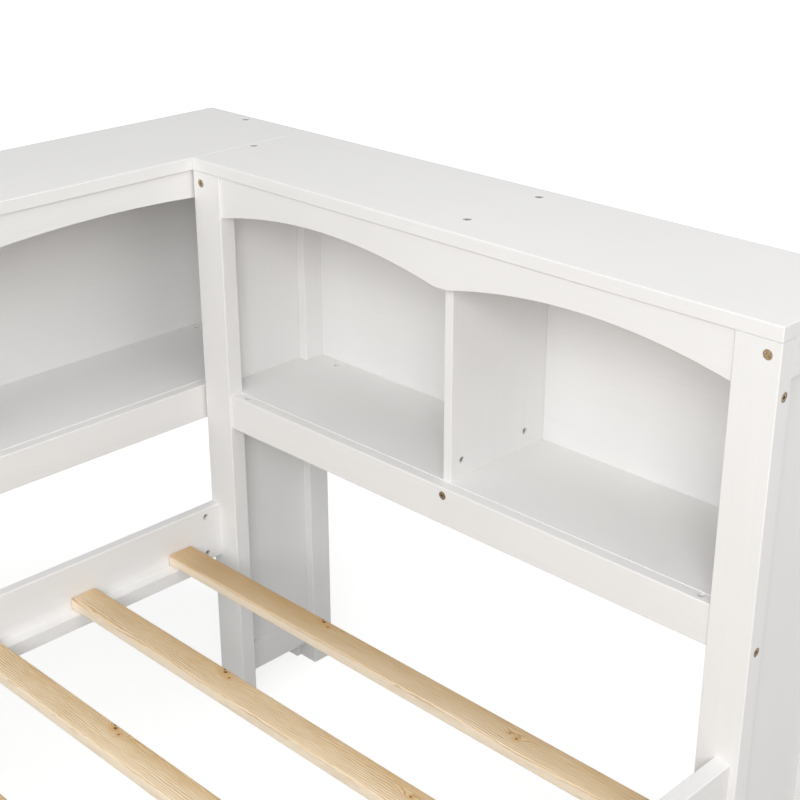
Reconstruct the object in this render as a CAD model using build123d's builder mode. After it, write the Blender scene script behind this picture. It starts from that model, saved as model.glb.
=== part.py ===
from build123d import *
import os

# Daybed with two bookcases set in an L and a trundle on casters, in millimetres.
# +Z is up and +X runs along the bed towards the end bookcase. +Y runs towards the long bookcase.
# The origin is on the floor, in the middle of the footprint with the trundle rolled out.

# Overall sizes
long_case_length = 2226.0
long_case_depth = 254.0
end_case_length = 1055.5
end_case_depth = 243.5
case_height = 1000.0

# Boards and posts of both bookcases
top_thickness = 20.0
post_width = 62.8
post_thickness = 28.0
back_post_width = 43.0
back_post_thickness = 39.5
back_overhang = 10.0
face_recess = 4.0
valance_thickness = 18.0
arch_crown_drop = 59.0
arch_rise = 27.0
arch_flat = 26.0
shelf_drop = 386.0
shelf_thickness = 20.0
shelf_proud = 1.0
shelf_rail_height = 60.0
shelf_rail_thickness = 24.0
rabbet_width = 5.5
divider_thickness = 15.0
back_panel_thickness = 4.0
side_rail_thickness = 30.0
side_top_rail_height = 50.0
side_bottom_rail_height = 55.0
side_bottom_rail_lift = 45.0
side_panel_thickness = 5.0
side_panel_inset = 17.2
panel_tongue = 6.0
groove_clearance = 0.2

# Bed frame
bed_rail_drop = 598.5
bed_rail_height = 100.0
back_rail_thickness = 18.5
front_rail_thickness = 25.0
back_rail_inset = 1.0
front_rail_inset = 11.0
foot_rail_thickness = 24.0
foot_post_thickness = 28.0
cleat_width = 24.0
cleat_height = 24.0
cleat_start = 50.0
slat_width = 48.0
slat_thickness = 20.0
slat_pitch = 194.0
slat_start = 64.0
slat_count = 10
slat_end_clearance = 1.0

# Trundle
trundle_travel = 1060.0
trundle_end_clearance = 8.0
trundle_back_clearance = 4.0
trundle_front_thickness = 24.0
trundle_back_thickness = 20.0
trundle_board_lift = 38.0
trundle_top_clearance = 15.0
trundle_back_height = 150.0
trundle_rail_height = 90.0
trundle_rail_thickness = 40.0
trundle_cleat_lift = 66.0
trundle_slat_start = 75.0
trundle_slat_pitch = 190.0
trundle_slat_count = 10

# Casters
wheel_radius = 24.0
wheel_width = 18.0
wheel_bore_radius = 3.1
axle_radius = 3.0
axle_head_radius = 5.0
axle_head_length = 2.0
bracket_gauge = 2.5
bracket_headroom = 11.5
bracket_side_clearance = 1.0
bracket_ear_radius = 11.0
bracket_plate_width = 38.0
bracket_plate_length = 60.0
axle_fit = 0.05
caster_inset = 90.0
tyre_width = 7.0
web_recess = 3.0
hub_radius = 8.0
wheel_ease = 2.0

# Bolts and barrel nuts
bolt_radius = 3.0
bolt_hole_radius = 3.3
bolt_head_radius = 6.3
bolt_head_height = 3.0
bolt_head_clearance = 0.3
head_sink = 0.6
socket_radius = 2.6
socket_depth = 2.0
frame_bolt_length = 64.0
short_bolt_length = 34.0
shelf_rail_bolt_length = 98.0
divider_bolt_length = 54.0
bolt_tip_clearance = 0.5
nut_radius = 4.6
nut_hole_radius = 4.9
nut_length = 10.0
nut_cross_radius = 3.2
nut_slot_width = 1.2
nut_slot_depth = 1.5
nut_setback = 30.0
shelf_nut_setbacks = (nut_setback, 22.0)

# Places of the bolts
face_bolt_drop = 38.0
face_bolt_inset = 18.0
side_bolt_setback = 16.0
side_bolt_upper_drop = 90.0
side_bolt_lower_drop = 432.0
nut_line = 12.0
shelf_bolt_drop = 399.0
shelf_bolt_offset = 8.0
divider_nut_lift = 29.0
divider_nut_front = 45.5
divider_nut_back = 185.0
back_rail_bolt_line = 9.5
front_rail_bolt_line = 30.0
rail_bolt_edge = 15.0
foot_bolt_edge = 33.0
trundle_bolt_edge = 20.0

# Wood screws of the top boards and of the casters
screw_head_radius = 6.0
screw_head_height = 3.0
screw_radius = 2.4
screw_hole_radius = 2.6
screw_length = 48.0
end_case_end_screw = (11.0, 116.0)
long_case_end_screw = (20.0, 137.5)
divider_screw_front = 57.0
divider_screw_back = 35.0
cross_width = 1.3
cross_length = 6.0
cross_depth = 1.6
caster_screw_head_radius = 4.0
caster_screw_head_height = 2.2
caster_screw_length = 22.0
caster_screw_offset = 22.0

# Eased edges
board_ease = 2.0
top_ease = 1.5
post_ease = 1.6
slat_ease = 4.0

# Places worked out from the sizes above
post_height = case_height - top_thickness
shelf_rail_top = case_height - shelf_drop
shelf_rail_bottom = shelf_rail_top - shelf_rail_height
shelf_top = shelf_rail_top + shelf_proud
side_panel_low = side_bottom_rail_lift + side_bottom_rail_height - panel_tongue
side_panel_high = post_height - side_top_rail_height + panel_tongue
bed_rail_top = case_height - bed_rail_drop
bed_rail_bottom = bed_rail_top - bed_rail_height
bed_rail_middle = bed_rail_bottom + bed_rail_height / 2
cleat_top = bed_rail_bottom + cleat_height
rail_bolt_heights = (bed_rail_bottom + rail_bolt_edge, bed_rail_top - rail_bolt_edge)
foot_bolt_heights = (bed_rail_bottom + foot_bolt_edge, bed_rail_top - foot_bolt_edge)
trundle_rail_bottom = 2 * wheel_radius + bracket_headroom + bracket_gauge
trundle_front_height = bed_rail_bottom - trundle_top_clearance - trundle_board_lift
footprint_y = long_case_depth + end_case_length - front_rail_inset + trundle_travel
x_case_end = long_case_length / 2
x_foot_end = -long_case_length / 2
x_case_face = x_case_end - end_case_depth
x_foot_face = x_foot_end + foot_post_thickness
bed_length = x_case_face - x_foot_face
y_seam = footprint_y / 2 - long_case_depth
y_open_side = y_seam - end_case_length
trundle_left = x_foot_face + trundle_end_clearance
trundle_right = x_case_face - trundle_end_clearance
trundle_front = -footprint_y / 2
trundle_back = y_seam - trundle_back_clearance - trundle_travel

os.makedirs("parts", exist_ok=True)


def save(part, name):
    part.label = name
    export_step(part, f"parts/{name}.step")


# A bookcase frame has x along its length, y from its front face to its back, and z up from the floor
long_frame = Plane(origin=(x_foot_end, y_seam, 0), x_dir=(1, 0, 0), z_dir=(0, 0, 1))
end_frame = Plane(origin=(x_case_face, y_seam, 0), x_dir=(0, -1, 0), z_dir=(0, 0, 1))
bed_frame = Plane(origin=(0, 0, 0), x_dir=(1, 0, 0), z_dir=(0, 0, 1))


def level(frame, x, y, z):
    # Sketch plane parallel to the floor, facing up
    return Plane(origin=frame.from_local_coords((x, y, z)), x_dir=frame.x_dir, z_dir=frame.z_dir)


def facing(frame, x, y, z):
    # Sketch plane on a front face: sketch x along the length, sketch y up, normal to the front
    return Plane(origin=frame.from_local_coords((x, y, z)), x_dir=frame.x_dir, z_dir=-frame.y_dir)


def endwise(frame, x, y, z):
    # Sketch plane across the length: sketch x towards the back, sketch y up, normal along the length
    return Plane(origin=frame.from_local_coords((x, y, z)), x_dir=frame.y_dir, z_dir=frame.x_dir)


def turned(plane):
    # The same place seen from the other side
    return Plane(origin=plane.origin, x_dir=-plane.x_dir, z_dir=-plane.z_dir)


def drill(plane, radius, depth):
    # Plain blind hole, drilled in from the plane
    with BuildSketch(plane) as hole:
        Circle(radius)
    extrude(hole.sketch, amount=-depth, mode=Mode.SUBTRACT)


def counterbore(plane, radius, head_radius, head_height, depth):
    # Clearance hole with a seat for a head sunk just below the face
    drill(plane, head_radius + bolt_head_clearance, head_sink + head_height)
    drill(plane, radius, depth)


def bolt_hole(plane, depth):
    counterbore(plane, bolt_hole_radius, bolt_head_radius, bolt_head_height, depth)


def screw_hole(plane, depth):
    counterbore(plane, screw_hole_radius, screw_head_radius, screw_head_height, depth)


def fastener(plane, recess, recess_depth, head_radius, head_height, sink, radius, length):
    # Round head below the plane by its sink, a recess in it, and a shank to the given length
    with BuildSketch(plane.offset(-sink)) as rim:
        Circle(head_radius)
        add(recess, mode=Mode.SUBTRACT)
    extrude(rim.sketch, amount=-recess_depth)
    with BuildSketch(plane.offset(-sink - recess_depth)) as web:
        Circle(head_radius)
    extrude(web.sketch, amount=recess_depth - head_height)
    with BuildSketch(plane.offset(-sink - head_height)) as shank:
        Circle(radius)
    extrude(shank.sketch, amount=sink + head_height - length)


def bolt(plane, length):
    with BuildSketch() as socket:
        RegularPolygon(socket_radius, 6)
    fastener(plane, socket.sketch, socket_depth, bolt_head_radius, bolt_head_height, head_sink,
             bolt_radius, length)


def wood_screw(plane, head_radius, head_height, sink, length):
    with BuildSketch() as cross:
        Rectangle(cross_length, cross_width)
        Rectangle(cross_width, cross_length)
    fastener(plane, cross.sketch, cross_depth, head_radius, head_height, sink, screw_radius, length)


def barrel_nut(plane, depth, along):
    # Slotted cylinder with its middle at the given depth and a cross hole for its bolt
    with BuildSketch(plane.offset(-depth + nut_length / 2)) as end_face:
        Circle(nut_radius)
    extrude(end_face.sketch, amount=-nut_length)
    with BuildSketch(plane.offset(-depth + nut_length / 2)) as slot:
        Rectangle(2 * nut_radius, nut_slot_width)
    extrude(slot.sketch, amount=-nut_slot_depth, mode=Mode.SUBTRACT)
    with BuildSketch(Plane(origin=plane.offset(-depth).origin, z_dir=along)) as cross:
        Circle(nut_cross_radius)
    extrude(cross.sketch, amount=nut_radius, both=True, mode=Mode.SUBTRACT)


def nut_hole(plane, depth):
    # Blind hole for a barrel nut whose middle is at the given depth
    drill(plane, nut_hole_radius, depth + nut_length / 2)


class Bookcase:
    # Sizes and places of one bookcase, measured in its own frame

    def __init__(self, name, frame, length, depth, bays, ends, end_screw, bed_bolt_lines):
        self.name = name
        self.frame = frame
        self.length = length
        self.depth = depth
        self.bays = bays
        self.ends = ends
        self.end_screw_line, self.end_screw_setback = end_screw
        self.bed_bolt_lines = bed_bolt_lines
        self.back = depth - back_overhang
        self.back_post_front = self.back - back_post_width
        self.panel_face = self.back - back_panel_thickness
        self.clear = length - 2 * post_width
        self.arch_span = (self.clear - (bays - 1) * arch_flat) / bays
        self.shelf_front = face_recess + shelf_rail_thickness - rabbet_width
        self.back_rail_front = self.panel_face - rabbet_width - shelf_rail_thickness

    def divider_centres(self):
        step = self.arch_span + arch_flat
        return [post_width + self.arch_span + arch_flat / 2 + i * step for i in range(self.bays - 1)]

    def from_end(self, end, distance):
        # Distance along the length, measured in from either end
        return distance if end == 0 else self.length - distance

    def side_plane(self, end, y, z):
        # Sketch plane on the outer side of an end, its normal pointing away from the case
        plane = endwise(self.frame, self.from_end(end, 0), y, z)
        return turned(plane) if end == 0 else plane

    def top_screws(self):
        places = [(self.from_end(end, self.end_screw_line), self.end_screw_setback) for end in (0, 1)]
        for x in self.divider_centres():
            places += [(x, divider_screw_front), (x, self.depth - divider_screw_back)]
        return [level(self.frame, x, y, case_height) for x, y in places]

    def face_bolt(self, end):
        return facing(self.frame, self.from_end(end, face_bolt_inset), 0, case_height - face_bolt_drop)

    def upper_side_bolt(self, end):
        return self.side_plane(end, side_bolt_setback, case_height - side_bolt_upper_drop)

    def shelf_rail_bolts(self, end):
        # One bolt into the front shelf rail and one into the back shelf rail
        z = case_height - side_bolt_lower_drop
        return [self.side_plane(end, side_bolt_setback, z),
                self.side_plane(end, self.back_rail_front + nut_line, z)]

    def shelf_rail_nuts(self, end):
        # Drilled from the top of the front rail and from the top of the shelf
        x = self.from_end(end, post_width + shelf_nut_setbacks[end])
        return [level(self.frame, x, face_recess + nut_line, shelf_rail_top),
                level(self.frame, x, self.back_rail_front + nut_line, shelf_top)]

    def shelf_bolts(self):
        return [facing(self.frame, x + shelf_bolt_offset, face_recess, case_height - shelf_bolt_drop)
                for x in self.divider_centres()]

    def divider_bolts(self, x):
        # Up through the shelf from below
        return [turned(level(self.frame, x, y, shelf_top - shelf_thickness))
                for y in (divider_nut_front, divider_nut_back)]

    def divider_nuts(self, x):
        return [endwise(self.frame, x + divider_thickness / 2, y, shelf_top + divider_nut_lift)
                for y in (divider_nut_front, divider_nut_back)]

    def bed_bolts(self, end):
        # From behind a front post into the end of a bed rail
        if not self.bed_bolt_lines:
            return []
        x = self.from_end(end, self.bed_bolt_lines[end])
        return [turned(facing(self.frame, x, post_thickness, z)) for z in rail_bolt_heights]


def make_top(case):
    with BuildPart() as board:
        with BuildSketch(level(case.frame, case.length / 2, case.depth / 2, post_height)):
            Rectangle(case.length, case.depth)
        extrude(amount=top_thickness)
        fillet(board.edges(), top_ease)
        for plane in case.top_screws():
            screw_hole(plane, top_thickness)
    save(board.part, f"{case.name}_top")


def make_valance(case):
    # Board with one circular arch over each bay and a short flat between two arches
    crown = case_height - arch_crown_drop
    spring = crown - arch_rise
    left = post_width
    right = case.length - post_width
    with BuildPart() as valance:
        with BuildSketch(facing(case.frame, 0, face_recess, 0)):
            with BuildLine():
                Polyline((right, spring), (right, post_height), (left, post_height), (left, spring))
                for i in range(case.bays):
                    start = left + i * (case.arch_span + arch_flat)
                    end = start + case.arch_span
                    ThreePointArc((start, spring), ((start + end) / 2, crown), (end, spring))
                    if i < case.bays - 1:
                        Line((end, spring), (end + arch_flat, spring))
            make_face()
        extrude(amount=-valance_thickness)
    save(valance.part, f"{case.name}_valance")


def make_shelf(case):
    # Shelf board, let into the front rail and notched round the four posts
    side = side_panel_inset + side_panel_thickness + groove_clearance
    middle = (case.shelf_front + case.panel_face) / 2
    with BuildPart() as shelf:
        with BuildSketch(level(case.frame, case.length / 2, middle, shelf_top - shelf_thickness)):
            Rectangle(case.length - 2 * side, case.panel_face - case.shelf_front)
        extrude(amount=shelf_thickness)
        for end in (0, 1):
            post_x = case.from_end(end, post_width / 2)
            with BuildSketch(level(case.frame, post_x, post_thickness / 2, shelf_top)):
                Rectangle(post_width + 2 * groove_clearance, post_thickness + 2 * groove_clearance)
            extrude(amount=-shelf_thickness, mode=Mode.SUBTRACT)
            post_x = case.from_end(end, back_post_thickness / 2)
            post_y = case.back_post_front + back_post_width / 2
            with BuildSketch(level(case.frame, post_x, post_y, shelf_top)):
                Rectangle(back_post_thickness + 2 * groove_clearance, back_post_width + 2 * groove_clearance)
            extrude(amount=-shelf_thickness, mode=Mode.SUBTRACT)
            drill(case.shelf_rail_nuts(end)[1], nut_hole_radius, shelf_thickness)
        for plane in case.shelf_bolts():
            drill(plane, bolt_hole_radius, short_bolt_length + bolt_tip_clearance)
        for x in case.divider_centres():
            for plane in case.divider_bolts(x):
                bolt_hole(plane, shelf_thickness)
    save(shelf.part, f"{case.name}_shelf")


def make_front_shelf_rail(case):
    # Shows under the shelf's front edge, with a rabbet behind its upper edge for the shelf
    seat = shelf_top - shelf_thickness
    back = face_recess + shelf_rail_thickness
    with BuildPart() as rail:
        with BuildSketch(endwise(case.frame, post_width, 0, 0)):
            with BuildLine():
                Polyline((face_recess, shelf_rail_bottom), (back, shelf_rail_bottom), (back, seat),
                         (back - rabbet_width, seat), (back - rabbet_width, shelf_rail_top),
                         (face_recess, shelf_rail_top), close=True)
            make_face()
        extrude(amount=case.clear)
        front = rail.faces().sort_by(Axis(case.frame.origin, case.frame.y_dir))[0]
        fillet(front.edges().filter_by(lambda edge: edge.length > shelf_rail_height), board_ease)
        for end in (0, 1):
            nut_hole(case.shelf_rail_nuts(end)[0], side_bolt_lower_drop - shelf_drop)
            drill(case.shelf_rail_bolts(end)[0].offset(-post_width), bolt_hole_radius,
                  shelf_rail_bolt_length - post_width + bolt_tip_clearance)
        for plane in case.shelf_bolts():
            bolt_hole(plane, shelf_rail_thickness)
    save(rail.part, f"{case.name}_front_shelf_rail")


def make_back_shelf_rail(case):
    # Carries the shelf from below, between the back posts
    seat = shelf_top - shelf_thickness
    height = seat - shelf_rail_bottom
    centre = case.back_rail_front + shelf_rail_thickness / 2
    with BuildPart() as rail:
        with BuildSketch(endwise(case.frame, back_post_thickness, centre, shelf_rail_bottom + height / 2)):
            Rectangle(shelf_rail_thickness, height)
        extrude(amount=case.length - 2 * back_post_thickness)
        for end in (0, 1):
            nut_hole(case.shelf_rail_nuts(end)[1], shelf_top - case_height + side_bolt_lower_drop)
            drill(case.shelf_rail_bolts(end)[1].offset(-back_post_thickness), bolt_hole_radius,
                  shelf_rail_bolt_length - back_post_thickness + bolt_tip_clearance)
    save(rail.part, f"{case.name}_back_shelf_rail")


def make_back_panel(case):
    # Thin panel behind the compartments, between the back posts
    low = shelf_top - shelf_thickness
    middle = case.panel_face + back_panel_thickness / 2
    with BuildPart() as panel:
        with BuildSketch(level(case.frame, case.length / 2, middle, low)):
            Rectangle(case.length - 2 * back_post_thickness, back_panel_thickness)
        extrude(amount=post_height - low)
    save(panel.part, f"{case.name}_back_panel")


def make_divider(case, x, name):
    # Upright board between two compartments, held by two screws above and two bolts below
    middle = (case.shelf_front + case.panel_face) / 2
    with BuildPart() as divider:
        with BuildSketch(level(case.frame, x, middle, shelf_top)):
            RectangleRounded(divider_thickness, case.panel_face - case.shelf_front, board_ease / 2)
        extrude(amount=post_height - shelf_top)
        for plane in case.divider_nuts(x):
            nut_hole(plane, divider_thickness / 2)
        for plane in case.divider_bolts(x):
            drill(plane.offset(-shelf_thickness), bolt_hole_radius,
                  divider_bolt_length - shelf_thickness + bolt_tip_clearance)
        for y in (divider_screw_front, case.depth - divider_screw_back):
            drill(level(case.frame, x, y, post_height), screw_hole_radius,
                  screw_length - top_thickness + bolt_tip_clearance)
    save(divider.part, f"{case.name}_{name}")


def cut_panel_groove(case, end, y):
    # Groove for the edge of the side panel, centred on a post's face
    x = case.from_end(end, side_panel_inset + side_panel_thickness / 2)
    with BuildSketch(level(case.frame, x, y, side_panel_low)) as groove:
        Rectangle(side_panel_thickness + 2 * groove_clearance, 2 * (panel_tongue + groove_clearance))
    extrude(groove.sketch, amount=side_panel_high - side_panel_low + groove_clearance,
            mode=Mode.SUBTRACT)


def make_front_post(case, end):
    # Flat post at the front, drilled for its bolts
    x = case.from_end(end, post_width / 2)
    with BuildPart() as post:
        with BuildSketch(level(case.frame, x, post_thickness / 2, 0)):
            RectangleRounded(post_width, post_thickness, post_ease)
        extrude(amount=post_height)
        cut_panel_groove(case, end, post_thickness)
        bolt_hole(case.face_bolt(end), post_thickness)
        bolt_hole(case.upper_side_bolt(end), short_bolt_length + bolt_tip_clearance)
        bolt_hole(case.shelf_rail_bolts(end)[0], post_width)
        for plane in case.bed_bolts(end):
            bolt_hole(plane, post_thickness)
    save(post.part, f"{case.name}_{case.ends[end]}_front_post")


def make_back_post(case, end):
    # Nearly square post at the back
    x = case.from_end(end, back_post_thickness / 2)
    with BuildPart() as post:
        with BuildSketch(level(case.frame, x, case.back_post_front + back_post_width / 2, 0)):
            RectangleRounded(back_post_thickness, back_post_width, post_ease)
        extrude(amount=post_height)
        cut_panel_groove(case, end, case.back_post_front)
        bolt_hole(case.shelf_rail_bolts(end)[1], back_post_thickness)
    save(post.part, f"{case.name}_{case.ends[end]}_back_post")


def make_side_rails(case, end):
    # Top and bottom rail of one end, each grooved for the side panel
    x = case.from_end(end, side_rail_thickness / 2)
    panel_x = case.from_end(end, side_panel_inset + side_panel_thickness / 2)
    run = case.back_post_front - post_thickness
    middle = post_thickness + run / 2
    levels = ((post_height - side_top_rail_height, side_top_rail_height),
              (side_bottom_rail_lift, side_bottom_rail_height))
    with BuildPart() as rails:
        for low, height in levels:
            with BuildSketch(facing(case.frame, x, post_thickness, low + height / 2)):
                RectangleRounded(side_rail_thickness, height, board_ease / 2)
            extrude(amount=-run)
        with BuildSketch(level(case.frame, panel_x, middle, side_panel_low)):
            Rectangle(side_panel_thickness + 2 * groove_clearance, run)
        extrude(amount=side_panel_high - side_panel_low + groove_clearance, mode=Mode.SUBTRACT)
        drill(case.face_bolt(end).offset(-post_thickness), bolt_hole_radius,
              frame_bolt_length - post_thickness + bolt_tip_clearance)
        drill(case.top_screws()[end].offset(-top_thickness), screw_hole_radius,
              screw_length - top_thickness + bolt_tip_clearance)
    save(rails.part, f"{case.name}_{case.ends[end]}_side_rails")


def make_side_panel(case, end):
    # Thin panel with its four edges in the grooves of the posts and the side rails
    x = case.from_end(end, side_panel_inset + side_panel_thickness / 2)
    run = case.back_post_front - post_thickness
    with BuildPart() as panel:
        with BuildSketch(level(case.frame, x, post_thickness + run / 2, side_panel_low)):
            Rectangle(side_panel_thickness, run + 2 * panel_tongue)
        extrude(amount=side_panel_high - side_panel_low)
    save(panel.part, f"{case.name}_{case.ends[end]}_side_panel")


end_case = Bookcase("end_case", end_frame, end_case_length, end_case_depth, 2, ("inner", "outer"),
                    end_case_end_screw, (back_rail_bolt_line, front_rail_bolt_line))
long_case = Bookcase("long_case", long_frame, long_case_length, long_case_depth, 3, ("foot", "corner"),
                     long_case_end_screw, None)
cases = (end_case, long_case)

for case in cases:
    make_top(case)
    make_valance(case)
    make_shelf(case)
    make_front_shelf_rail(case)
    make_back_shelf_rail(case)
    make_back_panel(case)
    for number, x in enumerate(case.divider_centres(), start=1):
        make_divider(case, x, "divider" if case.bays == 2 else f"divider_{number}")
    for end in (0, 1):
        make_front_post(case, end)
        make_back_post(case, end)
        make_side_rails(case, end)
        make_side_panel(case, end)


class BedRail:
    # Places of one side rail of the bed, with inward +1 or -1 along y

    def __init__(self, name, outer_y, inward, thickness, bolt_y):
        self.name = name
        self.inward = inward
        self.thickness = thickness
        self.bolt_y = bolt_y
        self.centre_y = outer_y + inward * thickness / 2
        self.inner_y = outer_y + inward * thickness
        self.cleat_y = self.inner_y + inward * cleat_width / 2
        self.nut_depth = abs(self.inner_y - bolt_y)

    def bolts(self, end):
        # On the end face of the rail, at the head (0) or the foot (1)
        x = (x_case_face, x_foot_face)[end]
        planes = [endwise(bed_frame, x, self.bolt_y, z) for z in rail_bolt_heights]
        return planes if end == 0 else [turned(plane) for plane in planes]

    def nuts(self, end):
        x = (x_case_face - nut_setback, x_foot_face + nut_setback)[end]
        planes = [facing(bed_frame, x, self.inner_y, z) for z in rail_bolt_heights]
        return planes if self.inward < 0 else [turned(plane) for plane in planes]


back_bed_rail = BedRail("bed_back_rail", y_seam - back_rail_inset, -1, back_rail_thickness,
                        y_seam - back_rail_bolt_line)
front_bed_rail = BedRail("bed_front_rail", y_open_side + front_rail_inset, 1, front_rail_thickness,
                         y_open_side + front_rail_bolt_line)
bed_rails = (back_bed_rail, front_bed_rail)

for rail in bed_rails:
    with BuildPart() as side_rail:
        with BuildSketch(endwise(bed_frame, x_foot_face, rail.centre_y, bed_rail_middle)):
            RectangleRounded(rail.thickness, bed_rail_height, board_ease)
        extrude(amount=bed_length)
        for end in (0, 1):
            for plane in rail.bolts(end):
                drill(plane, bolt_hole_radius, frame_bolt_length - post_thickness + bolt_tip_clearance)
            for plane in rail.nuts(end):
                nut_hole(plane, rail.nut_depth)
    save(side_rail.part, rail.name)

    with BuildPart() as cleat:
        with BuildSketch(endwise(bed_frame, x_foot_face + cleat_start, rail.cleat_y,
                                 bed_rail_bottom + cleat_height / 2)):
            RectangleRounded(cleat_width, cleat_height, board_ease / 2)
        extrude(amount=bed_length - 2 * cleat_start)
    save(cleat.part, rail.name.replace("rail", "cleat"))

slat_run = abs(back_bed_rail.inner_y - front_bed_rail.inner_y) - 2 * slat_end_clearance
slat_back = back_bed_rail.inner_y - slat_end_clearance
with BuildPart() as bed_slats:
    for i in range(slat_count):
        x = x_case_face - slat_start - slat_width / 2 - i * slat_pitch
        with BuildSketch(facing(bed_frame, x, slat_back, cleat_top + slat_thickness / 2)):
            RectangleRounded(slat_width, slat_thickness, slat_ease)
        extrude(amount=slat_run)
save(bed_slats.part, "bed_slats")


# Foot end: two low posts and a rail between them
foot_post_x = x_foot_end + foot_post_thickness / 2
foot_rail_inner_x = foot_post_x + foot_rail_thickness / 2
foot_sides = (("bed_back_foot_post", y_seam, -1, back_bed_rail),
              ("bed_front_foot_post", y_open_side, 1, front_bed_rail))


def foot_rail_bolts(outer_y, inward):
    # On the outer side of a foot post, along the width of the bed
    planes = [facing(bed_frame, foot_post_x, outer_y, z) for z in foot_bolt_heights]
    return planes if inward > 0 else [turned(plane) for plane in planes]


def foot_rail_nuts(outer_y, inward):
    y = outer_y + inward * (post_width + nut_setback)
    return [endwise(bed_frame, foot_rail_inner_x, y, z) for z in foot_bolt_heights]


for name, outer_y, inward, rail in foot_sides:
    with BuildPart() as foot_post:
        with BuildSketch(level(bed_frame, foot_post_x, outer_y + inward * post_width / 2, 0)):
            RectangleRounded(foot_post_thickness, post_width, post_ease)
        extrude(amount=bed_rail_top)
        fillet(foot_post.faces().sort_by(Axis.Z)[-1].edges(), post_ease / 2)
        for plane in rail.bolts(1):
            bolt_hole(plane.offset(foot_post_thickness), foot_post_thickness)
        for plane in foot_rail_bolts(outer_y, inward):
            bolt_hole(plane, post_width)
    save(foot_post.part, name)

with BuildPart() as foot_rail:
    with BuildSketch(facing(bed_frame, foot_post_x, y_seam - post_width, bed_rail_middle)):
        RectangleRounded(foot_rail_thickness, bed_rail_height, board_ease)
    extrude(amount=end_case_length - 2 * post_width)
    for name, outer_y, inward, rail in foot_sides:
        for plane in foot_rail_bolts(outer_y, inward):
            drill(plane.offset(-post_width), bolt_hole_radius,
                  shelf_rail_bolt_length - post_width + bolt_tip_clearance)
        for plane in foot_rail_nuts(outer_y, inward):
            nut_hole(plane, foot_rail_thickness / 2)
save(foot_rail.part, "bed_foot_rail")


# Trundle: a low bed on four casters, drawn rolled out in front of the bed
trundle_x = (trundle_left + trundle_right) / 2
trundle_width = trundle_right - trundle_left
trundle_inner_front = trundle_front + trundle_front_thickness
trundle_inner_back = trundle_back - trundle_back_thickness
end_rail_run = trundle_inner_back - trundle_inner_front
end_rail_middle = trundle_rail_bottom + trundle_rail_height / 2
end_rail_centres = (trundle_left + trundle_rail_thickness / 2, trundle_right - trundle_rail_thickness / 2)
trundle_bolt_heights = (trundle_rail_bottom + trundle_bolt_edge,
                        trundle_rail_bottom + trundle_rail_height - trundle_bolt_edge)


def trundle_bolts(y, outward):
    # Through a long board into both end rails
    planes = [facing(bed_frame, x, y, z) for x in end_rail_centres for z in trundle_bolt_heights]
    return planes if outward < 0 else [turned(plane) for plane in planes]


front_bolts = trundle_bolts(trundle_front, -1)
back_bolts = trundle_bolts(trundle_back, 1)
trundle_boards = (("trundle_front_board", trundle_front, 1, trundle_front_thickness,
                   trundle_front_height, front_bolts),
                  ("trundle_back_board", trundle_back, -1, trundle_back_thickness,
                   trundle_back_height, back_bolts))

for name, outer_y, inward, thickness, height, bolts in trundle_boards:
    with BuildPart() as long_board:
        with BuildSketch(endwise(bed_frame, trundle_left, outer_y + inward * thickness / 2,
                                 trundle_board_lift + height / 2)):
            RectangleRounded(thickness, height, board_ease)
        extrude(amount=trundle_width)
        for plane in bolts:
            bolt_hole(plane, thickness)
    save(long_board.part, name)

axle_places = [(x, y) for x in end_rail_centres
               for y in (trundle_inner_front + caster_inset, trundle_inner_back - caster_inset)]
caster_screw_planes = [turned(level(bed_frame, x, y + side * caster_screw_offset,
                                    trundle_rail_bottom - bracket_gauge))
                       for x, y in axle_places for side in (-1, 1)]

with BuildPart() as end_rails:
    for x in end_rail_centres:
        with BuildSketch(facing(bed_frame, x, trundle_inner_front, end_rail_middle)):
            RectangleRounded(trundle_rail_thickness, trundle_rail_height, board_ease)
        extrude(amount=-end_rail_run)
    for plane in front_bolts:
        drill(plane.offset(-trundle_front_thickness), bolt_hole_radius,
              frame_bolt_length - trundle_front_thickness + bolt_tip_clearance)
    for plane in back_bolts:
        drill(plane.offset(-trundle_back_thickness), bolt_hole_radius,
              frame_bolt_length - trundle_back_thickness + bolt_tip_clearance)
    for plane in caster_screw_planes:
        drill(plane.offset(-bracket_gauge), screw_hole_radius,
              caster_screw_length - bracket_gauge + bolt_tip_clearance)
save(end_rails.part, "trundle_end_rails")

cleat_x = trundle_left + trundle_rail_thickness
with BuildPart() as trundle_cleats:
    for y in (trundle_inner_front + cleat_width / 2, trundle_inner_back - cleat_width / 2):
        with BuildSketch(endwise(bed_frame, cleat_x, y, trundle_cleat_lift + cleat_height / 2)):
            RectangleRounded(cleat_width, cleat_height, board_ease / 2)
        extrude(amount=trundle_width - 2 * trundle_rail_thickness)
save(trundle_cleats.part, "trundle_cleats")

with BuildPart() as trundle_slats:
    slat_z = trundle_cleat_lift + cleat_height + slat_thickness / 2
    for i in range(trundle_slat_count):
        x = trundle_right - trundle_rail_thickness - trundle_slat_start - i * trundle_slat_pitch
        with BuildSketch(facing(bed_frame, x, trundle_inner_front + slat_end_clearance, slat_z)):
            RectangleRounded(slat_width, slat_thickness, slat_ease)
        extrude(amount=2 * slat_end_clearance - end_rail_run)
save(trundle_slats.part, "trundle_slats")

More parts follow.
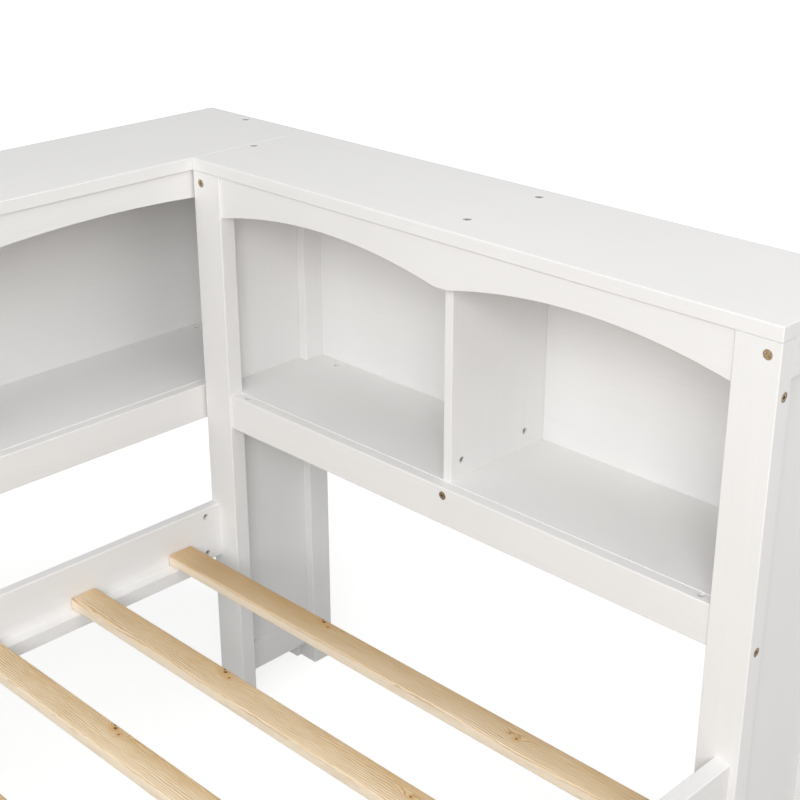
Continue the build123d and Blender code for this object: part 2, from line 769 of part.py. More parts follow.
# Casters: folded bracket, riveted axle, wheel with a tyre wider than its web
ear_offset = wheel_width / 2 + bracket_side_clearance
with BuildPart() as caster_brackets:
    for x, y in axle_places:
        with BuildSketch(level(bed_frame, x, y, trundle_rail_bottom)):
            RectangleRounded(bracket_plate_width, bracket_plate_length, board_ease)
        extrude(amount=-bracket_gauge)
        for side in (-1, 1):
            with BuildSketch(endwise(bed_frame, x + side * ear_offset, y, wheel_radius)):
                Circle(bracket_ear_radius)
                with Locations((0, (trundle_rail_bottom - wheel_radius) / 2)):
                    Rectangle(2 * bracket_ear_radius, trundle_rail_bottom - wheel_radius)
                Circle(axle_radius + axle_fit, mode=Mode.SUBTRACT)
            extrude(amount=side * bracket_gauge)
    for plane in caster_screw_planes:
        drill(plane, screw_hole_radius, bracket_gauge)
save(caster_brackets.part, "trundle_caster_brackets")

with BuildPart() as caster_axles:
    half = ear_offset + bracket_gauge
    for x, y in axle_places:
        with BuildSketch(endwise(bed_frame, x, y, wheel_radius)):
            Circle(axle_radius)
        extrude(amount=half, both=True)
        for side in (-1, 1):
            with BuildSketch(endwise(bed_frame, x + side * half, y, wheel_radius)):
                Circle(axle_head_radius)
            extrude(amount=side * axle_head_length)
save(caster_axles.part, "trundle_caster_axles")

wheel_names = ("trundle_wheel_foot_front", "trundle_wheel_foot_back",
               "trundle_wheel_head_front", "trundle_wheel_head_back")
for name, (x, y) in zip(wheel_names, axle_places):
    with BuildPart() as wheel:
        with BuildSketch(endwise(bed_frame, x, y, wheel_radius)):
            Circle(wheel_radius)
        extrude(amount=wheel_width / 2, both=True)
        chamfer(wheel.edges(), wheel_ease)
        for side in (-1, 1):
            with BuildSketch(endwise(bed_frame, x + side * wheel_width / 2, y, wheel_radius)):
                Circle(wheel_radius - tyre_width)
                Circle(hub_radius, mode=Mode.SUBTRACT)
            extrude(amount=-side * web_recess, mode=Mode.SUBTRACT)
        with BuildSketch(endwise(bed_frame, x, y, wheel_radius)):
            Circle(wheel_bore_radius)
        extrude(amount=wheel_width, both=True, mode=Mode.SUBTRACT)
    save(wheel.part, name)


# Fasteners, one part per kind
with BuildPart() as top_screws:
    for case in cases:
        for plane in case.top_screws():
            wood_screw(plane, screw_head_radius, screw_head_height, head_sink, screw_length)
save(top_screws.part, "top_screws")

with BuildPart() as face_bolts:
    for case in cases:
        for end in (0, 1):
            bolt(case.face_bolt(end), frame_bolt_length)
save(face_bolts.part, "face_bolts")

with BuildPart() as short_bolts:
    for case in cases:
        for end in (0, 1):
            bolt(case.upper_side_bolt(end), short_bolt_length)
        for plane in case.shelf_bolts():
            bolt(plane, short_bolt_length)
save(short_bolts.part, "short_bolts")

with BuildPart() as long_bolts:
    for case in cases:
        for end in (0, 1):
            for plane in case.shelf_rail_bolts(end):
                bolt(plane, shelf_rail_bolt_length)
    for name, outer_y, inward, rail in foot_sides:
        for plane in foot_rail_bolts(outer_y, inward):
            bolt(plane, shelf_rail_bolt_length)
save(long_bolts.part, "long_bolts")

with BuildPart() as divider_bolts:
    for case in cases:
        for x in case.divider_centres():
            for plane in case.divider_bolts(x):
                bolt(plane, divider_bolt_length)
save(divider_bolts.part, "divider_bolts")

with BuildPart() as bed_bolts:
    for end in (0, 1):
        for plane in end_case.bed_bolts(end):
            bolt(plane, frame_bolt_length)
    for rail in bed_rails:
        for plane in rail.bolts(1):
            bolt(plane.offset(foot_post_thickness), frame_bolt_length)
save(bed_bolts.part, "bed_rail_bolts")

with BuildPart() as barrel_nuts:
    for case in cases:
        for end in (0, 1):
            front_plane, back_plane = case.shelf_rail_nuts(end)
            barrel_nut(front_plane, side_bolt_lower_drop - shelf_drop, case.frame.x_dir)
            barrel_nut(back_plane, shelf_top - case_height + side_bolt_lower_drop, case.frame.x_dir)
        for x in case.divider_centres():
            for plane in case.divider_nuts(x):
                barrel_nut(plane, divider_thickness / 2, case.frame.z_dir)
    for rail in bed_rails:
        for end in (0, 1):
            for plane in rail.nuts(end):
                barrel_nut(plane, rail.nut_depth, bed_frame.x_dir)
    for name, outer_y, inward, rail in foot_sides:
        for plane in foot_rail_nuts(outer_y, inward):
            barrel_nut(plane, foot_rail_thickness / 2, bed_frame.y_dir)
save(barrel_nuts.part, "barrel_nuts")

with BuildPart() as trundle_bolt_set:
    for plane in front_bolts + back_bolts:
        bolt(plane, frame_bolt_length)
save(trundle_bolt_set.part, "trundle_bolts")

with BuildPart() as caster_screws:
    for plane in caster_screw_planes:
        wood_screw(plane, caster_screw_head_radius, caster_screw_head_height,
                   -caster_screw_head_height, caster_screw_length)
save(caster_screws.part, "trundle_caster_screws")
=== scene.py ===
import math
import bpy
import numpy as np
from mathutils import Matrix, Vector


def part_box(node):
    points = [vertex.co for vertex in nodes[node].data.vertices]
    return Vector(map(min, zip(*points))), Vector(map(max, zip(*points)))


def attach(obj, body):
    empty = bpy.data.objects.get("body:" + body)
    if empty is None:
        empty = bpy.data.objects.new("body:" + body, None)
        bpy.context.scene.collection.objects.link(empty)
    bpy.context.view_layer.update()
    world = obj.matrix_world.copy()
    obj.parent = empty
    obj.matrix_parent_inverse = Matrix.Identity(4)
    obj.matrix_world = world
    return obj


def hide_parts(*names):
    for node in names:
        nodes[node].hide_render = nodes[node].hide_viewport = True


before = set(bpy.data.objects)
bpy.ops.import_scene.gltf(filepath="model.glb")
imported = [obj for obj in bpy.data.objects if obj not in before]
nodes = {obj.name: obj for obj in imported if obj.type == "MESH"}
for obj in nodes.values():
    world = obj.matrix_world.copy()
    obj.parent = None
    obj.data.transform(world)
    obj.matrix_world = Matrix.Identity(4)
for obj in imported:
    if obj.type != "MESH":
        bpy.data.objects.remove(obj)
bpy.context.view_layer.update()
print("frame loaded:", len(nodes), "nodes")


def hexToLinear(code):
    # sRGB hex to linear light: a straight line below 0.04045, a power of 2.4 above it
    c = np.array([int(code[i:i + 2], 16) for i in (1, 3, 5)]) / 255
    return (*np.where(c <= 0.04045, c / 12.92, ((c + 0.055) / 1.055) ** 2.4), 1.0)


def addNode(tree, kind, inputs=None, stops=(), **settings):
    # One shader node. An input takes a value, a socket, or a node for its first output.
    # The stops of a ramp are (place, hex).
    node = tree.nodes.new(kind)
    for name, value in settings.items():
        setattr(node, name, value)
    for name, value in (inputs or {}).items():
        source = value.outputs[0] if isinstance(value, bpy.types.Node) else value
        if isinstance(source, bpy.types.NodeSocket):
            tree.links.new(source, node.inputs[name])
        else:
            node.inputs[name].default_value = source
    for i, (place, code) in enumerate(stops):
        dots = node.color_ramp.elements
        dot = dots[i] if i < len(dots) else dots.new(place)
        dot.position, dot.color = place, hexToLinear(code)
    return node


def newMaterial(name):
    material = bpy.data.materials.new(name)
    material.use_nodes = True
    material.node_tree.nodes.clear()
    return material, material.node_tree


# Satin white acrylic lacquer, sprayed over planed and sanded softwood: nearly neutral white, a soft sheen,
# the grain as faint long ridges, a fine orange peel, and corners sanded round
lacquer = {
    "light": "#EFEEED",
    "dark": "#EAE9E8",
    "toneRange": (0.3, 0.7),  # noise at which the tone is all dark and all light
    "cloudShare": 0.6,        # of the tone, the rest is grain
    "roughness": (0.36, 0.48),
    "ior": 1.5,
    "grainLength": 0.30,      # m, one ridge along the board
    "grainWidth": 0.0045,     # m, ridges of about 1 mm, drawn wider so that they show
    "grainDetail": 3.0,
    "grainBreak": 0.6,        # how much the finer ridges count
    "grainDepth": 0.00009,
    "peelSize": 0.003,        # m, peel of about 1 mm, drawn wider so that it shows
    "peelDetail": 1.0,
    "peelDepth": 0.00002,
    "relief": 0.5,            # strength of both bumps
    "cloudSize": 0.25,        # m, slow change of tone and sheen
    "cloudDetail": 2.0,
    "cornerRadius": 0.0006,   # m, the sanded corner
    "cornerSamples": 6,
}


def lacquerAlong(axis):
    material, tree = newMaterial("satinWhiteLacquer_" + "xyz"[axis])
    place = addNode(tree, "ShaderNodeTexCoord").outputs["Object"]
    stretch = [1 / lacquer["grainWidth"]] * 3
    stretch[axis] = 1 / lacquer["grainLength"]
    along = addNode(tree, "ShaderNodeMapping", {"Vector": place, "Scale": stretch})
    grain = addNode(tree, "ShaderNodeTexNoise", {"Vector": along, "Scale": 1.0, "Detail": lacquer["grainDetail"],
                                                 "Roughness": lacquer["grainBreak"]}).outputs["Fac"]
    cloud = addNode(tree, "ShaderNodeTexNoise", {"Vector": place, "Scale": 1 / lacquer["cloudSize"],
                                                 "Detail": lacquer["cloudDetail"]}).outputs["Fac"]
    peel = addNode(tree, "ShaderNodeTexNoise", {"Vector": place, "Scale": 1 / lacquer["peelSize"],
                                                "Detail": lacquer["peelDetail"]}).outputs["Fac"]
    tone = addNode(tree, "ShaderNodeMix", {"Factor": lacquer["cloudShare"], "A": grain, "B": cloud},
                   data_type="FLOAT")
    allDark, allLight = lacquer["toneRange"]
    colour = addNode(tree, "ShaderNodeValToRGB", {"Fac": tone},
                     [(allDark, lacquer["dark"]), (allLight, lacquer["light"])])
    low, high = lacquer["roughness"]
    sheen = addNode(tree, "ShaderNodeMapRange", {"Value": cloud, "To Min": low, "To Max": high})
    corner = addNode(tree, "ShaderNodeBevel", {"Radius": lacquer["cornerRadius"]}, samples=lacquer["cornerSamples"])
    ridges = addNode(tree, "ShaderNodeBump", {"Strength": lacquer["relief"], "Distance": lacquer["grainDepth"],
                                              "Height": grain, "Normal": corner})
    skin = addNode(tree, "ShaderNodeBump", {"Strength": lacquer["relief"], "Distance": lacquer["peelDepth"],
                                            "Height": peel, "Normal": ridges})
    paint = addNode(tree, "ShaderNodeBsdfPrincipled", {"Base Color": colour, "Roughness": sheen, "Normal": skin,
                                                       "IOR": lacquer["ior"]})
    addNode(tree, "ShaderNodeOutputMaterial", {"Surface": paint})
    return material


lacquers = [lacquerAlong(axis) for axis in range(3)]
print("lacquer made")


def mottledFinish(name, look):
    # One noise sets the tone, the sheen and a slight relief
    material, tree = newMaterial(name)
    place = addNode(tree, "ShaderNodeTexCoord").outputs["Object"]
    mottle = addNode(tree, "ShaderNodeTexNoise", {"Vector": place, "Scale": 1 / look["mottle"],
                                                  "Detail": look["detail"]}).outputs["Fac"]
    allDark, allLight = look["toneRange"]
    colour = addNode(tree, "ShaderNodeValToRGB", {"Fac": mottle}, [(allDark, look["dark"]), (allLight, look["light"])])
    low, high = look["roughness"]
    sheen = addNode(tree, "ShaderNodeMapRange", {"Value": mottle, "To Min": low, "To Max": high})
    skin = addNode(tree, "ShaderNodeBump", {"Strength": look["relief"], "Distance": look["depth"], "Height": mottle})
    shader = addNode(tree, "ShaderNodeBsdfPrincipled", {"Base Color": colour, "Roughness": sheen, "Normal": skin,
                                                        **look["shader"]})
    addNode(tree, "ShaderNodeOutputMaterial", {"Surface": shader})
    return material


# Metals of the hardware, dull from the plating bath, with a soft mottle.
# The mottle is in metres and about three times the real grain of the plating, so that it shows.
metals = {
    "dullZincSteel": {"light": "#BEBDBA", "dark": "#8F8E8B", "roughness": (0.34, 0.5), "mottle": 0.0018},
    "bronzedSteel": {"light": "#C2B095", "dark": "#957F64", "roughness": (0.34, 0.5), "mottle": 0.0018},
    # a darker copy of the bronzed steel, for the short and long bolts
    "agedBronzedSteel": {"light": "#A89880", "dark": "#6C5B47", "roughness": (0.36, 0.52), "mottle": 0.0018},
    "brightZincSheet": {"light": "#CDCFD1", "dark": "#A6A9AC", "roughness": (0.2, 0.36), "mottle": 0.006},
}
plating = {"toneRange": (0.35, 0.65), "detail": 3.0, "relief": 0.3, "depth": 0.00002, "shader": {"Metallic": 1.0}}
hardware = {name: mottledFinish(name, {**plating, **look}) for name, look in metals.items()}

# Planed pine under a thin clear coat: honey tan, fine wavy grain lines that part round small dark knots,
# and painted light that makes the sides paler. It reads three attributes of the slats: grain, the place on the board
# in metres (across, from the wall end, up), board, a number that sets each board's figure, and a tint per board
# that is partly the board's own tone and partly painted shade.
pine = {
    "pale": "#F4E4CC",
    "mid": "#EAD4B0",
    "deep": "#D3B07C",
    "toneStops": (0.34, 0.56, 0.80),    # tone at which the wood is pale, mid and deep
    "slowShare": 0.40,                  # of the slow streaks in the tone
    "fibreShare": 0.70,
    "lean": (-0.10, 0.14),              # added to the tone at the two long edges
    "halfWidth": 0.024,                 # m
    "line": "#A47A48",
    # a paler colour painted on the sides as light, where the lamps from above leave them darker
    "side": "#F7E8D2",
    "sideFade": (0.0185, 0.0145),       # m up the board where the painted light of the sides begins and is full
    "sideShare": 0.75,
    "honey": "#B8935A",                 # darker tone of some boards, and painted shade on the board at the head, most at its wall end
    "honeyFade": (0.1, 0.65),           # m from the wall end where the painted shade begins to fade and where it has faded
    "honeyFar": 0.35,                   # share of the tint and painted shade that is left at the far end
    "streaks": {                        # noise drawn out along the board: m across, m along, detail
        "bend": (0.045, 0.34, 1.0),
        "waver": (0.006, 0.022, 1.0),
        "patch": (0.02, 0.16, 1.0),
        "fibre": (0.0010, 0.03, 3.0),   # real fibres are finer
        "slow": (0.045, 0.238, 2.0),
    },
    "streakBreak": 0.55,
    "sway": {"bend": 0.014, "waver": 0.0017},   # m that the lines move sideways
    "lineGap": 0.0034,                  # m between grain lines, about twice the real ring gap so that they show
    "waveGap": 0.314,                   # gap between the wave texture's bands at scale 1
    "lineRange": (0.6, 1.0),            # part of the wave that is a line
    "patchRange": (0.35, 0.65),
    "patchStrength": (0.34, 0.74),      # lines where they are faint and strong
    "knots": [(0.0165, 0.337, 0.0034), (0.0205, 0.331, 0.0024), (0.0110, 0.352, 0.0020),
              (-0.0010, 0.744, 0.0022), (0.0030, 0.729, 0.0018)],   # m across, m from the wall end, m of radius
    "knot": "#6A3D1A",
    "knotEdge": (0.9, 0.5),             # radii where the knot begins and is full
    "knotLength": 0.8,                  # places along the board are shrunk by this, so knots are ovals
    "halo": "#CB984F",
    "haloEdge": (4.0, 0.9),
    "haloShare": 0.6,
    "pushAtRadius": (0.0100, 0.0034),   # m that a knot of this radius in m bends the lines
    "pushReach": (0.007, 0.024),        # m across and along
    "pushEnd": 1.8,                     # reaches out where the bending ends
    "swirlEdge": (2.2, 0.8),            # reaches out where lines are usual and strongest
    "swirlStrength": 0.62,
    "fibreDepth": 0.00007,
    "relief": 0.6,
    "roughness": (0.40, 0.56),
    "ior": 1.5,
}


def pineFinish():
    material, tree = newMaterial("clearCoatedPine")
    grain = addNode(tree, "ShaderNodeAttribute", attribute_name="grain").outputs["Vector"]
    board = addNode(tree, "ShaderNodeAttribute", attribute_name="board").outputs["Fac"]
    brown = addNode(tree, "ShaderNodeAttribute", attribute_name="brown").outputs["Fac"]
    apart = addNode(tree, "ShaderNodeSeparateXYZ", {0: grain}).outputs

    streak = {}     # its own noise for each board
    for name, (wide, long, detail) in pine["streaks"].items():
        drawn = addNode(tree, "ShaderNodeMapping", {"Vector": grain, "Scale": (1 / wide, 1 / long, 1 / wide)})
        noise = addNode(tree, "ShaderNodeTexNoise", {"Vector": drawn, "W": board, "Scale": 1.0, "Detail": detail,
                                                     "Roughness": pine["streakBreak"]}, noise_dimensions="4D")
        streak[name] = noise.outputs["Fac"]

    # The line field: across + sway + waver + a hump at each knot, whose level lines close into loops
    field = apart["X"]
    for name, sway in pine["sway"].items():
        field = addNode(tree, "ShaderNodeMath", {0: streak[name], 1: sway * 2, 2: field}, operation="MULTIPLY_ADD")
    most = {"core": 0.0, "halo": 0.0, "swirl": 0.0}     # the strongest of all knots at each place
    push, pushRadius = pine["pushAtRadius"]
    reachAcross, reachAlong = pine["pushReach"]
    for x, y, radius in pine["knots"]:
        centred = addNode(tree, "ShaderNodeMapping", {"Vector": grain, "Location": (-x, -y, 0)})
        squeezed = addNode(tree, "ShaderNodeVectorMath", {0: centred, 1: (1 / reachAcross, 1 / reachAlong, 0)},
                           operation="MULTIPLY")
        reaches = addNode(tree, "ShaderNodeVectorMath", {0: squeezed}, operation="LENGTH").outputs["Value"]
        oval = addNode(tree, "ShaderNodeVectorMath", {0: centred, 1: (1, pine["knotLength"], 0)},
                       operation="MULTIPLY")
        away = addNode(tree, "ShaderNodeVectorMath", {0: oval}, operation="LENGTH").outputs["Value"]
        hump = addNode(tree, "ShaderNodeMapRange", {"Value": reaches, "From Max": pine["pushEnd"],
                                                    "To Min": push * radius / pushRadius, "To Max": 0.0},
                       interpolation_type="SMOOTHERSTEP")
        field = addNode(tree, "ShaderNodeMath", {0: field, 1: hump}, operation="ADD")
        for name, measure, unit, (begins, full), share in (
                ("core", away, radius, pine["knotEdge"], 1.0),
                ("halo", away, radius, pine["haloEdge"], pine["haloShare"]),
                ("swirl", reaches, 1.0, pine["swirlEdge"], pine["swirlStrength"])):
            part = addNode(tree, "ShaderNodeMapRange", {"Value": measure, "From Min": unit * begins,
                                                        "From Max": unit * full, "To Max": share})
            most[name] = addNode(tree, "ShaderNodeMath", {0: most[name], 1: part}, operation="MAXIMUM")

    # Grain lines: the crests of a wave along the field, faint and strong in patches
    fieldLine = addNode(tree, "ShaderNodeCombineXYZ", {"X": field})
    wave = addNode(tree, "ShaderNodeTexWave", {"Vector": fieldLine, "Scale": pine["waveGap"] / pine["lineGap"]},
                   wave_type="BANDS", bands_direction="X").outputs["Fac"]
    lineStart, lineFull = pine["lineRange"]
    crest = addNode(tree, "ShaderNodeMapRange", {"Value": wave, "From Min": lineStart, "From Max": lineFull})
    patchStart, patchFull = pine["patchRange"]
    faint, strong = pine["patchStrength"]
    patch = addNode(tree, "ShaderNodeMapRange", {"Value": streak["patch"], "From Min": patchStart,
                                                 "From Max": patchFull, "To Min": faint, "To Max": strong})
    strength = addNode(tree, "ShaderNodeMath", {0: patch, 1: most["swirl"]}, operation="MAXIMUM")
    lines = addNode(tree, "ShaderNodeMath", {0: crest, 1: strength}, operation="MULTIPLY")

    # Tone of the wood: slow streaks, fibres, and a lean from one long edge to the other
    leanLow, leanHigh = pine["lean"]
    tone = addNode(tree, "ShaderNodeMapRange", {"Value": apart["X"], "From Min": -pine["halfWidth"],
                                                "From Max": pine["halfWidth"], "To Min": leanLow,
                                                "To Max": leanHigh})
    for name, share in (("slow", pine["slowShare"]), ("fibre", pine["fibreShare"])):
        tone = addNode(tree, "ShaderNodeMath", {0: streak[name], 1: share, 2: tone}, operation="MULTIPLY_ADD")
    colour = addNode(tree, "ShaderNodeValToRGB", {"Fac": tone},
                     list(zip(pine["toneStops"], (pine["pale"], pine["mid"], pine["deep"]))))

    # Painted light: below the top face the slats are mixed towards a paler colour
    paintedLightStart, paintedLightFull = pine["sideFade"]
    side = addNode(tree, "ShaderNodeMapRange", {"Value": apart["Z"], "From Min": paintedLightStart, "From Max": paintedLightFull,
                                                "To Max": pine["sideShare"]})
    # Painted shade: the tint is full near the wall end and fades along the board
    nearWall, farOff = pine["honeyFade"]
    fade = addNode(tree, "ShaderNodeMapRange", {"Value": apart["Y"], "From Min": nearWall, "From Max": farOff,
                                                "To Min": 1.0, "To Max": pine["honeyFar"]})
    brownAndWallShade = addNode(tree, "ShaderNodeMath", {0: brown, 1: fade}, operation="MULTIPLY")
    for share, name in ((brownAndWallShade, "honey"), (lines, "line"), (side, "side"), (most["halo"], "halo"),
                        (most["core"], "knot")):
        mix = addNode(tree, "ShaderNodeMix", {0: share, 6: colour, 7: hexToLinear(pine[name])}, data_type="RGBA")
        colour = mix.outputs[2]
    low, high = pine["roughness"]
    sheen = addNode(tree, "ShaderNodeMapRange", {"Value": streak["fibre"], "To Min": low, "To Max": high})
    bump = addNode(tree, "ShaderNodeBump", {"Strength": pine["relief"], "Distance": pine["fibreDepth"],
                                            "Height": tone})
    wood = addNode(tree, "ShaderNodeBsdfPrincipled", {"Base Color": colour, "Roughness": sheen, "Normal": bump,
                                                      "IOR": pine["ior"]})
    addNode(tree, "ShaderNodeOutputMaterial", {"Surface": wood})
    return material


pineMaterial = pineFinish()

# Glass-filled nylon of the wheels, moulded matt black with a faint speckle
nylon = {"light": "#2E2E2F", "dark": "#1D1D1E", "toneRange": (0.35, 0.65), "roughness": (0.42, 0.58),
         "mottle": 0.0015, "detail": 2.0, "relief": 0.3, "depth": 0.00003, "shader": {"IOR": 1.53}}
nylonMaterial = mottledFinish("mouldedBlackNylon", nylon)
print("finishes made")

steelNodes = {
    "dullZincSteel": ("top_screws", "barrel_nuts", "divider_bolts", "trundle_caster_screws"),
    "bronzedSteel": ("face_bolts", "bed_rail_bolts", "trundle_bolts"),
    "agedBronzedSteel": ("short_bolts", "long_bolts"),
    "brightZincSheet": ("trundle_caster_brackets", "trundle_caster_axles"),
}


def dressNodes():
    # CAD nodes keep their shape: steel by the table above, and lacquer with its grain along the longest side
    finish = {name: hardware[kind] for kind, group in steelNodes.items() for name in group}
    for name, node in nodes.items():
        if name.startswith("trundle_wheel") or name.endswith("slats"):
            continue
        if name not in finish:
            low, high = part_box(name)
            axis = int(np.argmax(np.array(high) - np.array(low)))
            if name.endswith(("side_rails", "end_rails")):      # pairs of rails: along each rail
                axis = 0 if name.startswith("end_case") else 1
            finish[name] = lacquers[axis]
        node.data.materials.clear()
        node.data.materials.append(finish[name])
    print("nodes dressed:", len(finish))


dressNodes()


def gridQuads(rows, columns, closedRows, closedColumns):
    # Quads of a grid of points, row by row; a closed direction joins its last line to its first
    r = np.arange(rows if closedRows else rows - 1)[:, None]
    c = np.arange(columns if closedColumns else columns - 1)[None, :]
    nextR, nextC = (r + 1) % rows, (c + 1) % columns
    corners = [r * columns + c, nextR * columns + c, nextR * columns + nextC, r * columns + nextC]
    return np.stack(corners, -1).reshape(-1, 4)


def makePiece(name, points, faces, material, body, node, values=()):
    # A smooth mesh that rides on a body and stands for a node; values are point attributes
    mesh = bpy.data.meshes.new(name)
    mesh.from_pydata(points.tolist(), [], faces)
    for label, kind, key, data in values:
        mesh.attributes.new(label, kind, "POINT").data.foreach_set(key, data.astype(np.float32).ravel())
    mesh.materials.append(material)
    mesh.shade_smooth()
    piece = bpy.data.objects.new(name, mesh)
    bpy.context.scene.collection.objects.link(piece)
    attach(piece, body)
    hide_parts(node)


# Slats: a rectangle with planed round corners, carried along the slat and drawn in at its sawn ends
slats = {
    "width": 0.048,
    "cornerRadius": 0.0042,
    "cornerSteps": 6,
    "endEase": 0.0012,      # m that an end is drawn in
    "endStations": 4,       # sections over the drawn-in part
    "stations": 9,          # sections between the ends
    "count": 10,
    "figures": 60,          # range of the number that sets a board's figure
    "slip": 0.006,          # m that a board's figure is moved along, at most
    "brownest": 0.55,       # tint of the board at the head, which is painted shade, and twice the most of any other board's own tint
}


def slatSection(width, height):
    # Four quarter circles, anticlockwise: corner centre + radius times (cos, sin)
    radius = slats["cornerRadius"]
    turn = np.arange(4)[:, None] * math.pi / 2 + np.linspace(0, math.pi / 2, slats["cornerSteps"] + 1)[None, :]
    side = np.array([[1, 1], [-1, 1], [-1, -1], [1, -1]])[:, None, :]
    centre = side * (np.array([width, height]) / 2 - radius)
    return (centre + radius * np.stack([np.cos(turn), np.sin(turn)], -1)).reshape(-1, 2)


def makeSlats(name, node, body, seed):
    # Point (v, u) = (slat x + section x, station y, slat z + section z),
    # the section shrunk near the ends by a quarter circle
    low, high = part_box(node)
    width, height, ease = slats["width"], high.z - low.z, slats["endEase"]
    section = slatSection(width, height)
    t = np.linspace(0, math.pi / 2, slats["endStations"])
    rise = ease * (1 - np.cos(t))
    middle = np.linspace(low.y + 2 * ease, high.y - 2 * ease, slats["stations"])
    ys = np.concatenate([low.y + rise, middle, high.y - rise[::-1]])
    drawIn = ease * (1 - np.sin(t))
    inset = np.concatenate([drawIn, np.zeros(slats["stations"]), drawIn[::-1]])
    around = section[None] * (1 - inset[:, None, None] / (np.array([width, height]) / 2))
    rows, columns = around.shape[:2]
    quads = gridQuads(rows, columns, False, True)
    last = (rows - 1) * columns
    ends = [list(range(columns)), list(range(last, last + columns))[::-1]]
    luck = np.random.default_rng(seed)
    boards = luck.uniform(0, slats["figures"], slats["count"])
    slips = luck.uniform(-slats["slip"], slats["slip"], slats["count"])
    # The board at the head takes the most tint, as painted shade; the others a random tint of their own
    brownAndShadeTints = np.concatenate([[slats["brownest"]], luck.uniform(0.0, slats["brownest"] / 2, slats["count"] - 1)])
    points, faces, grain = [], [], []
    for i, x in enumerate(np.linspace(high.x - width / 2, low.x + width / 2, slats["count"])):
        local = np.stack([around[..., 0], np.broadcast_to(ys[:, None], (rows, columns)),
                          around[..., 1] + height / 2], -1).reshape(-1, 3)
        first = i * len(local)
        points.append(local + np.array([x, 0, low.z]))
        faces += [tuple(face) for face in (quads[:, ::-1] + first).tolist()]
        faces += [[k + first for k in end] for end in ends]
        grain.append(local * np.array([1, -1, 1]) + np.array([0, high.y + slips[i], 0]))
    makePiece(name, np.concatenate(points), faces, pineMaterial, body, node,
              [("grain", "FLOAT_VECTOR", "vector", np.concatenate(grain)),
               ("board", "FLOAT", "value", np.repeat(boards, rows * columns)),
               ("brown", "FLOAT", "value", np.repeat(brownAndShadeTints, rows * columns))])


makeSlats("bedSlats", "bed_slats", "bed", 11)
makeSlats("trundleSlats", "trundle_slats", "trundle", 29)
print("slats made")

# Wheels: a profile turned about the axle, with a crowned tread, a sunk web and a hub, in metres
wheel = {"radius": 0.024, "width": 0.018, "bore": 0.0031, "hub": 0.008, "rim": 0.0172, "sunk": 0.0032,
         "crown": 0.0006, "ease": 0.0016, "steps": 5, "turns": 72}


def wheelProfile():
    # Closed loop of (offset along the axle, radius): tread r - crown t^2, quarter-round shoulder, then the side:
    # rim, web, hub and bore, each corner broken by two points up to 1.8 mm apart
    half, radius, ease = wheel["width"] / 2, wheel["radius"], wheel["ease"]
    rim, hub, web, bore = wheel["rim"], wheel["hub"], half - wheel["sunk"], wheel["bore"]
    t = np.linspace(0, 1, wheel["steps"])
    tread = np.stack([t * (half - ease), radius - wheel["crown"] * t ** 2], -1)
    a = np.linspace(0, math.pi / 2, wheel["steps"])[1:]
    shoulder = np.stack([half - ease + ease * np.sin(a), radius - wheel["crown"] - ease * (1 - np.cos(a))], -1)
    side = np.array([[half, rim + 0.0008], [half - 0.0006, rim], [web + 0.0006, rim - 0.0008],
                     [web, rim - 0.0018], [web, hub + 0.0016], [web + 0.0008, hub + 0.0006],
                     [half - 0.0005, hub], [half, hub - 0.0005], [half, bore + 0.0004], [half - 0.0004, bore]])
    right = np.concatenate([tread, shoulder, side])
    return np.concatenate([right, right[1:][::-1] * np.array([-1, 1])])


def makeWheel(node):
    # Point (v, u) = axle + (offset u, radius u times cos v, radius u times sin v)
    low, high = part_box(node)
    centre = (np.array(low) + np.array(high)) / 2
    profile = wheelProfile()
    turn = np.linspace(0, 2 * math.pi, wheel["turns"], endpoint=False)[:, None]
    points = np.stack([np.broadcast_to(profile[:, 0], (wheel["turns"], len(profile))),
                       profile[:, 1] * np.cos(turn), profile[:, 1] * np.sin(turn)], -1)
    quads = gridQuads(wheel["turns"], len(profile), True, True)
    makePiece(node + "_turned", points.reshape(-1, 3) + centre, quads[:, ::-1].tolist(), nylonMaterial,
              node.replace("trundle_", ""), node)


for name in nodes:
    if name.startswith("trundle_wheel"):
        makeWheel(name)
print("wheels made")

# White floor: paper for the lamps, and for the eye a white that lets the shadow show near the object
room = {
    "floorSize": 60.0,
    "floor": "#BDBDBC",
    "white": "#FFFFFF",
    "nearGlow": 0.71,
    "fade": (1.5, 3.2),      # m from the middle, where the glow grows to full white
    "sky": 0.39,
}


def seenDirectly(tree):
    # 1 for camera, glossy and transmission rays, so that mirrors show the same white as the camera
    path = addNode(tree, "ShaderNodeLightPath")
    seen = path.outputs["Is Camera Ray"]
    for other in ("Is Glossy Ray", "Is Transmission Ray"):
        seen = addNode(tree, "ShaderNodeMath", {0: seen, 1: path.outputs[other]}, operation="MAXIMUM")
    return seen


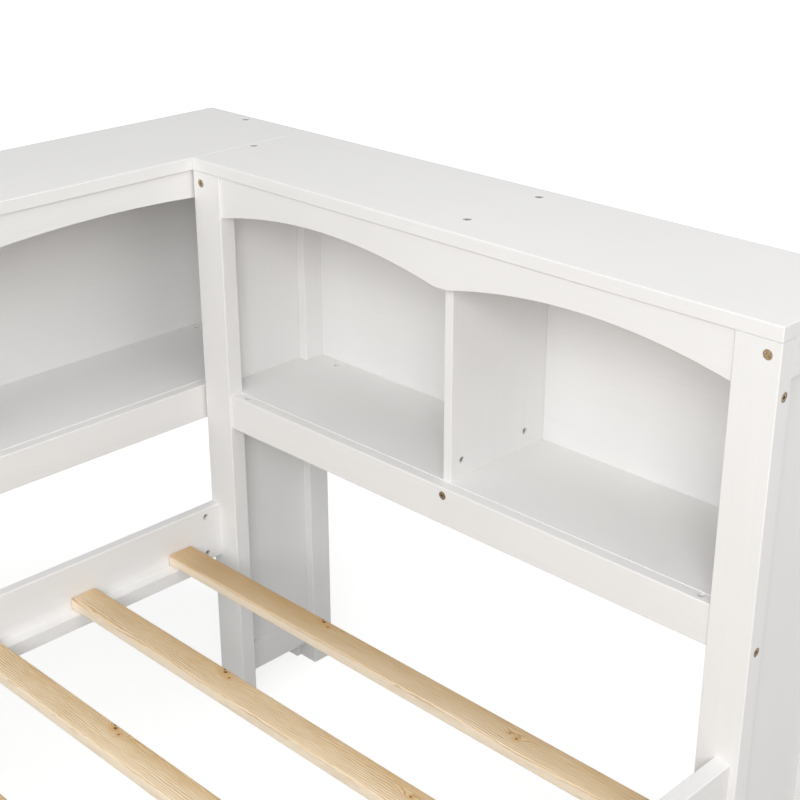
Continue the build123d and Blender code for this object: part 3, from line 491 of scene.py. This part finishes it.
def makeFloor():
    half = room["floorSize"] / 2
    mesh = bpy.data.meshes.new("studioFloor")
    mesh.from_pydata([(-half, -half, 0), (half, -half, 0), (half, half, 0), (-half, half, 0)], [], [(0, 1, 2, 3)])
    floor = bpy.data.objects.new("studioFloor", mesh)
    bpy.context.scene.collection.objects.link(floor)
    material, tree = newMaterial("whitePaperFloor")
    place = addNode(tree, "ShaderNodeTexCoord").outputs["Object"]
    away = addNode(tree, "ShaderNodeVectorMath", {0: place}, operation="LENGTH").outputs["Value"]
    near, far = room["fade"]
    glow = addNode(tree, "ShaderNodeMapRange", {"Value": away, "From Min": near, "From Max": far,
                                                "To Min": room["nearGlow"], "To Max": 1.0},
                   interpolation_type="SMOOTHSTEP")
    strength = addNode(tree, "ShaderNodeMath", {0: glow, 1: seenDirectly(tree)}, operation="MULTIPLY")
    paper = addNode(tree, "ShaderNodeBsdfDiffuse", {"Color": hexToLinear(room["floor"])})
    light = addNode(tree, "ShaderNodeEmission", {"Color": hexToLinear(room["white"]), "Strength": strength})
    both = addNode(tree, "ShaderNodeAddShader", {0: paper, 1: light})
    addNode(tree, "ShaderNodeOutputMaterial", {"Surface": both})
    mesh.materials.append(material)


def makeSky():
    world = bpy.data.worlds.new("softRoom")
    bpy.context.scene.world = world
    world.use_nodes = True
    tree = world.node_tree
    tree.nodes.clear()
    strength = addNode(tree, "ShaderNodeMapRange", {"Value": seenDirectly(tree), "To Min": room["sky"],
                                                    "To Max": 1.0})
    white = addNode(tree, "ShaderNodeBackground", {"Color": hexToLinear(room["white"]), "Strength": strength})
    addNode(tree, "ShaderNodeOutputWorld", {"Surface": white})


# Square soft boxes: place and aim in metres, width in metres, watts
lamps = {
    "cameraLeft": {"place": (-2.2, -2.2, 2.6), "aim": (0.4, 0.4, 0.7), "size": 2.0, "watts": 98},
    "footEnd": {"place": (-2.5, 0.3, 2.6), "aim": (0.9, 0.3, 0.7), "size": 2.0, "watts": 33},
    "overHead": {"place": (1.0, -0.3, 3.0), "aim": (1.0, 0.2, 0.8), "size": 2.0, "watts": 14},
    "openSide": {"place": (0.3, -3.2, 2.2), "aim": (0.3, 0.6, 0.7), "size": 2.0, "watts": 15},
}


def facingMatrix(place, aim):
    # The third axis points from the aim back to the place, the first lies level
    back = (place - aim) / np.linalg.norm(place - aim)
    right = np.cross((0, 0, 1), back)
    right = right / np.linalg.norm(right)
    turn = np.eye(4)
    turn[:3, 0], turn[:3, 1], turn[:3, 2], turn[:3, 3] = right, np.cross(back, right), back, place
    return Matrix(turn.tolist())


def makeLamps():
    for name, look in lamps.items():
        data = bpy.data.lights.new(name, "AREA")
        data.size, data.energy = look["size"], look["watts"]
        lamp = bpy.data.objects.new(name, data)
        bpy.context.scene.collection.objects.link(lamp)
        lamp.matrix_world = facingMatrix(np.array(look["place"]), np.array(look["aim"]))


# The photograph's camera: place in metres, heading from +X, tilt down and roll in degrees, lens and sensor in mm
photoCamera = {"place": (-0.54361, -0.93088, 1.6), "heading": 44.7565, "down": 23.6728, "roll": -0.1057,
               "lens": 68.104, "sensor": 36.0, "clipEnd": 80.0}


def makeCamera():
    data = bpy.data.cameras.new("photoCamera")
    data.sensor_width, data.lens, data.clip_end = photoCamera["sensor"], photoCamera["lens"], photoCamera["clipEnd"]
    camera = bpy.data.objects.new("photoCamera", data)
    bpy.context.scene.collection.objects.link(camera)
    turn = Matrix.Rotation(math.radians(photoCamera["heading"] - 90), 4, "Z")
    tilt = Matrix.Rotation(math.radians(90 - photoCamera["down"]), 4, "X")
    roll = Matrix.Rotation(math.radians(photoCamera["roll"]), 4, "Z")
    camera.matrix_world = Matrix.Translation(photoCamera["place"]) @ turn @ tilt @ roll
    bpy.context.scene.camera = camera


makeFloor()
makeSky()
makeLamps()
makeCamera()
bpy.context.scene.view_settings.view_transform = "Standard"
print("room made")
